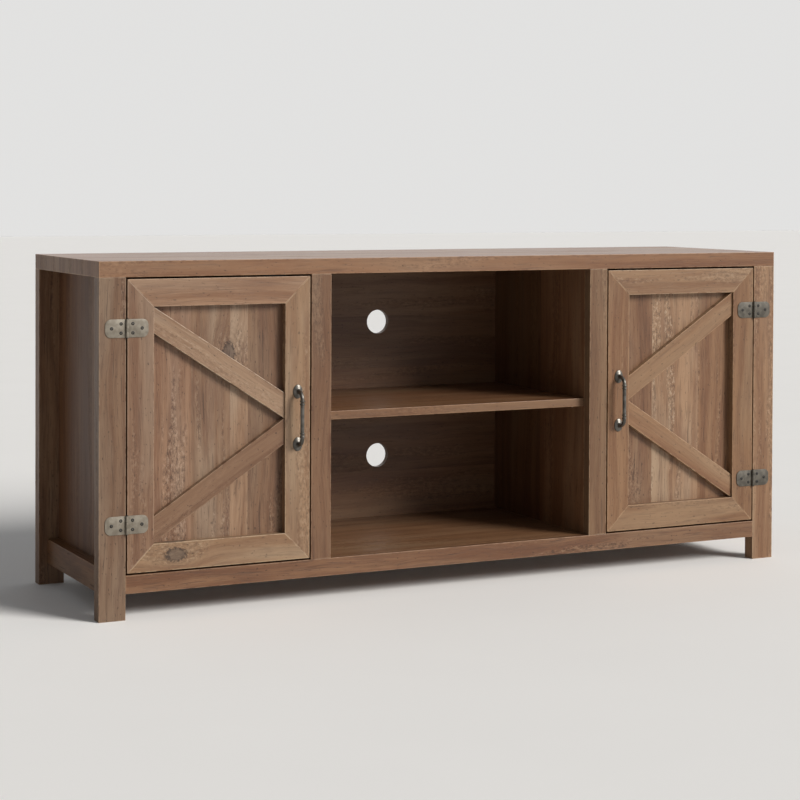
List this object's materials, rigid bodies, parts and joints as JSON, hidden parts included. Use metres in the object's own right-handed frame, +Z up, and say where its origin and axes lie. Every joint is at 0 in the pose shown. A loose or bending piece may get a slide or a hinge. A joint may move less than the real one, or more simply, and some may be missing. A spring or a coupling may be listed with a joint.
{
  "type": "tv stand",
  "caption": "Low tv stand with a slab top on post legs, an open bay with a shelf, and hinged plank doors with diagonal battens.",
  "frame": {"origin": "on the floor, in the middle of the whole stand seen from above, handles included", "axes": "+X towards the right-hand door seen from the front, +Y towards the back, +Z up"},
  "size_m": [1.473, 0.427, 0.643],
  "materials": {
    "oak_top": "rustic oak grain laminate, matt, lit from above",
    "oak_case": "rustic oak grain laminate, matt, saw marks",
    "oak_door": "rustic oak grain laminate, matt, saw marks",
    "oak_back": "rustic oak grain laminate, matt",
    "oak_shelf": "rustic oak grain laminate, matt",
    "beech": "plain turned beech",
    "zinc": "bright zinc plating",
    "black_plastic": "moulded, matt",
    "pewter": "warm light grey, satin",
    "handle_pewter": "antique pewter, satin",
    "dark_steel": "dark bronze, satin"
  },
  "bodies": {
    "case": {"top_slab": "oak_top", "bottom_panel": "oak_case", "front_rail": "oak_case", "post_front_left": "oak_case", "post_front_right": "oak_case", "post_rear_left": "oak_case", "post_rear_right": "oak_case", "side_panel_left": "oak_case", "side_panel_right": "oak_case", "side_rail_left": "oak_case", "side_rail_right": "oak_case", "partition_left": "oak_case", "partition_right": "oak_case", "bay_stile_left": "oak_case", "bay_stile_right": "oak_case", "back_panel_left": "oak_back", "back_panel_center": "oak_back", "back_panel_right": "oak_back", "shelf_center": "oak_shelf", "shelf_left": "oak_shelf", "shelf_right": "oak_shelf", "shelf_pins": "zinc", "dowels": "beech", "cam_locks": "zinc", "cam_bolts": "zinc", "back_screws": "zinc", "catch_left": "black_plastic", "catch_right": "black_plastic", "catch_screws": "zinc", "hinge_post_leaves_left": "pewter", "hinge_post_leaves_right": "pewter", "hinge_pins_left": "pewter", "hinge_pins_right": "pewter", "hinge_post_screws": "dark_steel"},
    "left_door": {"door_left_hinge_stile": "oak_door", "door_left_handle_stile": "oak_door", "door_left_top_rail": "oak_door", "door_left_bottom_rail": "oak_door", "door_left_panel": "oak_door", "door_left_upper_batten": "oak_door", "door_left_lower_batten": "oak_door", "door_left_handle": "handle_pewter", "door_left_handle_screws": "zinc", "door_left_strike": "zinc", "door_left_hinge_leaves": "pewter", "door_left_hinge_screws": "dark_steel"},
    "right_door": {"door_right_hinge_stile": "oak_door", "door_right_handle_stile": "oak_door", "door_right_top_rail": "oak_door", "door_right_bottom_rail": "oak_door", "door_right_panel": "oak_door", "door_right_upper_batten": "oak_door", "door_right_lower_batten": "oak_door", "door_right_handle": "handle_pewter", "door_right_handle_screws": "zinc", "door_right_strike": "zinc", "door_right_hinge_leaves": "pewter", "door_right_hinge_screws": "dark_steel"}
  },
  "joints": [
    {"name": "left_door_hinge", "type": "hinge", "parent": "case", "child": "left_door", "pos_m": [-0.685, -0.1895, 0.347], "axis": [0, 0, -1], "range_deg": [0, 165]},
    {"name": "right_door_hinge", "type": "hinge", "parent": "case", "child": "right_door", "pos_m": [0.685, -0.1895, 0.347], "axis": [0, 0, 1], "range_deg": [0, 165]}
  ]
}
